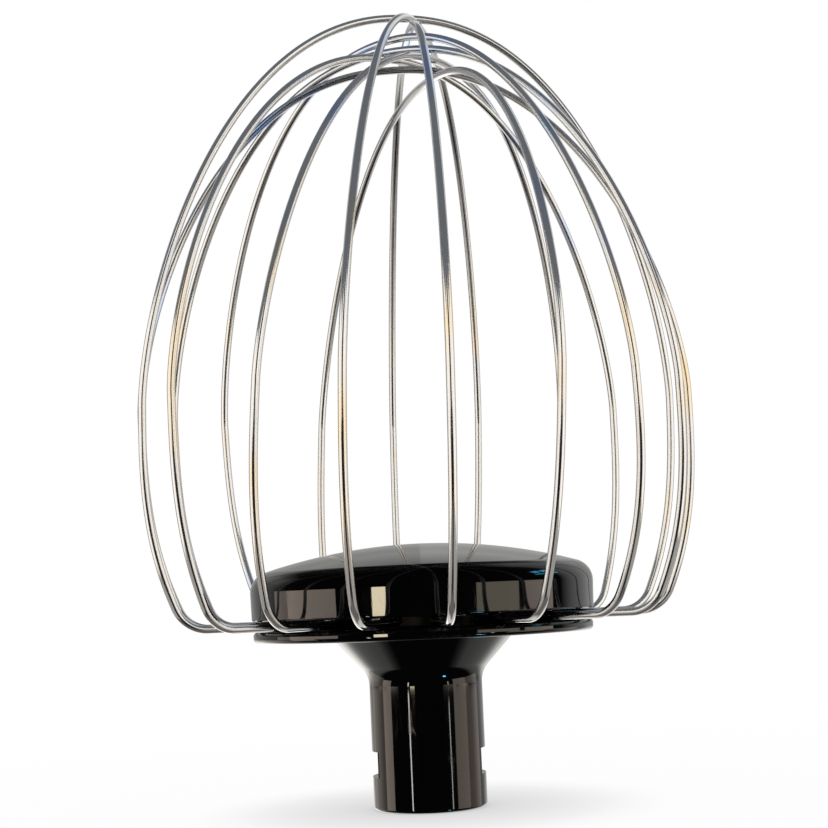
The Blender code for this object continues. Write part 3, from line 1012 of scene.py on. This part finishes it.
class WHISK_OT_studio(Operator):
    """Make the pale floor, the backdrop, the soft lights and the camera"""

    bl_idname = "whisk.studio"
    bl_label = "Make studio"

    # How far from the axis the upright soft boxes stand, and the height their angles start from.
    PANEL_DISTANCE = 1.2
    PANEL_EYE = 0.05
    # Upright soft boxes: name, the pieces lit, the turns of the two sides from the camera's side
    # towards +X, the lowest and highest angle, radiance and colour.
    WARM = (1.0, 0.84, 0.72)
    CREAM = (1.0, 0.96, 0.89)
    PANELS = (
        ("left_window", "hub", -98, -57, -4.1, 2.5, 4.2, WARM),
        ("left_window_side", "hub", -112, -98, -4.1, 2.5, 1.8, WARM),
        ("left_window_low", "hub", -98, -76, -24, -4.1, 3.7, WARM),
        ("left_side_low", "hub", -142, -98, -30, -4.1, 0.9, WARM),
        ("left_strip", "hub", -32, -23, -4.1, 2.5, 26.0, (1.0, 0.86, 0.60)),
        ("left_strip_low", "hub", -37, -34.8, -20, -4.3, 20.0, (1.0, 0.96, 0.93)),
        ("right_window", "hub", 35, 65, -4.1, 3.5, 3.0, (1.0, 0.88, 0.70)),
        ("right_window_side", "hub", 69, 94, -4.1, 3.5, 3.6, WARM),
        ("right_window_low", "hub", 57, 88, -24, -4.1, 2.8, WARM),
        ("right_side_low", "hub", 88, 125, -24, -4.1, 1.2, WARM),
        ("right_strip_low", "hub", 45, 46.6, -17, -4.8, 12.0, (1.0, 1.0, 0.92)),
        ("sky_glint", "hub", 86, 104, 29, 35, 8.0, (0.15, 0.60, 1.0)),
        ("sky_glint_under", "hub", 84, 108, 22, 26, 5.0, (0.04, 0.75, 0.85)),
        ("low_glint", "hub", 40, 46, -42, -37, 60.0, (0.12, 0.55, 1.0)),
        ("left_box", "wires", -103, -33, -16, 28, 1.6, CREAM),
        ("right_box", "wires", 33, 103, -16, 28, 1.6, CREAM),
        ("left_box_front", "wires", -33, -15, 5, 32, 1.5, CREAM),
        ("right_box_front", "wires", 15, 33, 5, 32, 1.5, CREAM),
        ("left_box_low", "wires", -103, -18, -40, -17, 0.5, CREAM),
        ("right_box_low", "wires", 18, 103, -40, -17, 0.5, CREAM),
    )
    # Level soft boxes: name, height, half width, radiance and colour.
    LEVELS = (
        ("ceiling", 1.0, 1.7, 0.22, (0.80, 0.90, 1.0)),
        ("table_glow", -0.7, 0.8, 0.17, (1.0, 0.95, 0.90)),
    )

    def execute(self, context):
        studio = context.scene.whisk.studio
        self.make_world(context, studio)
        self.make_floor(studio)
        receivers = {
            "hub": self.receivers("hub", ("hub_",)),
            "wires": self.receivers("wires", ("wire_loop_", "clamp_", "cap_screw")),
        }
        for name, lit, *placing in self.PANELS:
            self.make_panel(name, *placing).light_linking.receiver_collection = receivers[lit]
        for row in self.LEVELS:
            self.make_level(*row).light_linking.receiver_collection = receivers["wires"]
        self.make_camera(context, studio)
        return {"FINISHED"}

    def receivers(self, name, beginnings):
        """The pieces that a kind of soft box lights."""
        collection = bpy.data.collections.new("lit_" + name)
        for obj in bpy.context.scene.collection.all_objects:
            if obj.type == "MESH" and obj.name.startswith(beginnings):
                collection.objects.link(obj)
        return collection

    def make_world(self, context, studio):
        """A white backdrop for the camera, and a dim room with a grey far wall for the gloss."""
        world = bpy.data.worlds.new("studio")
        context.scene.world = world
        world.use_nodes = True
        tree = world.node_tree
        tree.nodes.clear()
        way = add_node(
            tree, "ShaderNodeSeparateXYZ",
            {"Vector": tree.nodes.new("ShaderNodeTexCoord").outputs["Generated"]},
        ).outputs
        turn = math_node(tree, "ARCTAN2", way["X"], product(tree, way["Y"], -1.0))
        turn = math_node(tree, "DEGREES", turn)
        lift = math_node(tree, "DEGREES", math_node(tree, "ARCSINE", way["Z"]))

        def patch(left, right, low, high, soft):
            """1 inside this window of turns and angles, with soft sides."""
            sides = product(
                tree, ranged(tree, turn, left - soft, left + soft),
                ranged(tree, turn, right + soft, right - soft),
            )
            ends = product(
                tree, ranged(tree, lift, low - soft, low + soft),
                ranged(tree, lift, high + soft, high - soft),
            )
            return product(tree, sides, ends)

        room = (0.022, 0.022, 0.026, 1.0)
        behind = ranged(tree, math_node(tree, "ABSOLUTE", turn), 104.0, 118.0)
        for left, right, low, high, soft, color in (
            (-200, 0, -6, 18, 5, (0.46, 0.46, 0.45, 1.0)),
            (-200, 0, 16, 36, 6, (0.66, 0.66, 0.65, 1.0)),
            (0, 200, -6, 18, 5, (0.52, 0.52, 0.51, 1.0)),
            (0, 200, 16, 36, 6, (0.82, 0.82, 0.81, 1.0)),
            (100, 150, -6, 62, 6, (0.85, 0.83, 0.83, 1.0)),
            (-200, -92, -66, -9, 8, (0.80, 0.79, 0.75, 1.0)),
            (-200, -144, -32, -9, 8, (2.40, 2.36, 2.26, 1.0)),
            (96, 200, -66, -9, 8, (0.70, 0.69, 0.67, 1.0)),
            (144, 200, -32, -9, 8, (1.70, 1.68, 1.62, 1.0)),
        ):
            share = product(tree, patch(left, right, low, high, soft), behind)
            room = mixed(tree, share, room, color)
        seen = add_node(
            tree, "ShaderNodeBackground",
            {"Color": (1.0, 1.0, 1.0, 1.0), "Strength": studio.backdrop},
        )
        lit = add_node(tree, "ShaderNodeBackground", {"Color": room, "Strength": 1.0})
        seen_directly = tree.nodes.new("ShaderNodeLightPath").outputs["Is Camera Ray"]
        shaders = {"Fac": seen_directly, 1: lit.outputs[0], 2: seen.outputs[0]}
        choice = add_node(tree, "ShaderNodeMixShader", shaders)
        add_node(tree, "ShaderNodeOutputWorld", {"Surface": choice.outputs[0]})

    def make_floor(self, studio):
        """A pale round floor with a soft contact shadow, which fades out into the backdrop."""
        shape = bmesh.new()
        bmesh.ops.create_circle(shape, cap_ends=True, segments=96, radius=studio.floor_radius)
        mesh = mesh_from("floor", shape)
        mesh.transform(Matrix.Translation((0.0, 0.0, -0.0001)))
        floor = new_object("floor", mesh)
        mesh.materials.append(self.floor_material(studio))

    def floor_material(self, studio):
        material = bpy.data.materials.new("pale_floor")
        material.use_nodes = True
        tree = material.node_tree
        tree.nodes.clear()
        shadow = add_node(
            tree, "ShaderNodeAmbientOcclusion", {"Distance": 0.045}, samples=16
        ).outputs["AO"]
        tone = ranged(tree, shadow, 0.2, 1.0, 0.50, 0.985)
        pale = add_node(tree, "ShaderNodeEmission", {"Color": tone, "Strength": 1.0})
        clear = tree.nodes.new("ShaderNodeBsdfTransparent")
        away = length_of(tree, object_place(tree))
        near = ranged(tree, away, studio.floor_radius * 0.5, 0.08)
        seen = tree.nodes.new("ShaderNodeLightPath").outputs["Is Camera Ray"]
        shaders = {"Fac": product(tree, near, seen), 1: clear.outputs[0], 2: pale.outputs[0]}
        fade = add_node(tree, "ShaderNodeMixShader", shaders)
        add_node(tree, "ShaderNodeOutputMaterial", {"Surface": fade.outputs[0]})
        return material

    def add_light(self, name, width, height, radiance, color):
        """A rectangular soft box that is not itself seen."""
        light = bpy.data.lights.new(name, "AREA")
        light.shape = "RECTANGLE"
        light.size = width
        light.size_y = height
        light.color = color
        light.energy = radiance * pi * width * height
        box = new_object(name, light)
        box.visible_camera = False
        return box

    def make_panel(self, name, left, right, low, high, radiance, color):
        """An upright soft box between two turns and two angles, as seen from the hub."""
        distance = self.PANEL_DISTANCE
        width = 2 * distance * tan(radians(right - left) / 2)
        bottom = distance * tan(radians(low))
        top = distance * tan(radians(high))
        panel = self.add_light(name, width, top - bottom, radiance, color)
        out = direction((left + right) / 2)
        middle = self.PANEL_EYE + (bottom + top) / 2
        panel.location = out * distance + Vector((0.0, 0.0, middle))
        panel.rotation_euler = (-out).to_track_quat("-Z", "Y").to_euler()
        return panel

    def make_level(self, name, height, half, radiance, color):
        """A level soft box above or below the whisk that faces it."""
        level = self.add_light(name, 2 * half, 2 * half, radiance, color)
        level.location = (0.0, 0.0, height)
        if height < 0:
            level.rotation_euler = (pi, 0.0, 0.0)
        return level

    def make_camera(self, context, studio):
        """A camera level with the hub that looks a little up, slightly rolled."""
        tilt, roll = studio.camera_tilt, studio.camera_roll
        ahead = Vector((0.0, cos(tilt), sin(tilt)))
        up = Vector((0.0, -sin(tilt), cos(tilt)))
        right = Vector((1.0, 0.0, 0.0))
        across = right * cos(roll) + up * sin(roll)
        above = up * cos(roll) - right * sin(roll)
        place = Matrix((across, above, -ahead)).transposed().to_4x4()
        place.translation = Vector((0.0, -studio.camera_distance, studio.camera_height))
        data = bpy.data.cameras.new("camera")
        data.sensor_width = 36.0
        data.lens = studio.lens
        data.clip_start = 0.01
        camera = new_object("camera", data)
        camera.matrix_world = place
        context.scene.camera = camera
        context.scene.view_settings.view_transform = "Standard"


class WHISK_PT_panel(Panel):
    """Lists the whisk's steps and sizes"""

    bl_label = "Balloon whisk"
    bl_idname = "WHISK_PT_panel"
    bl_space_type = "VIEW_3D"
    bl_region_type = "UI"
    bl_category = "Whisk"

    def draw(self, context):
        layout = self.layout
        for operator in STEPS:
            layout.operator(operator.bl_idname)
        settings = context.scene.whisk
        for group in (settings.wires, settings.hub, settings.finish, settings.studio):
            column = layout.column(align=True)
            for name in group.bl_rna.properties.keys():
                if name not in ("rna_type", "name"):
                    column.prop(group, name)


STEPS = (
    WHISK_OT_effects,
    WHISK_OT_hub_body,
    WHISK_OT_hub_cap,
    WHISK_OT_wire_loops,
    WHISK_OT_inner_steel,
    WHISK_OT_studio,
)
CLASSES = (
    WireSettings, HubSettings, FinishSettings, StudioSettings, WhiskSettings,
    *STEPS, WHISK_PT_panel,
)


def register():
    for cls in CLASSES:
        bpy.utils.register_class(cls)
    bpy.types.Scene.whisk = PointerProperty(type=WhiskSettings)


def unregister():
    del bpy.types.Scene.whisk
    for cls in reversed(CLASSES):
        bpy.utils.unregister_class(cls)


def main():
    register()
    bpy.ops.whisk.effects()
    bpy.ops.whisk.hub_body()
    bpy.ops.whisk.hub_cap()
    bpy.ops.whisk.wire_loops()
    bpy.ops.whisk.inner_steel()
    bpy.ops.whisk.studio()


if __name__ == "__main__":
    main()
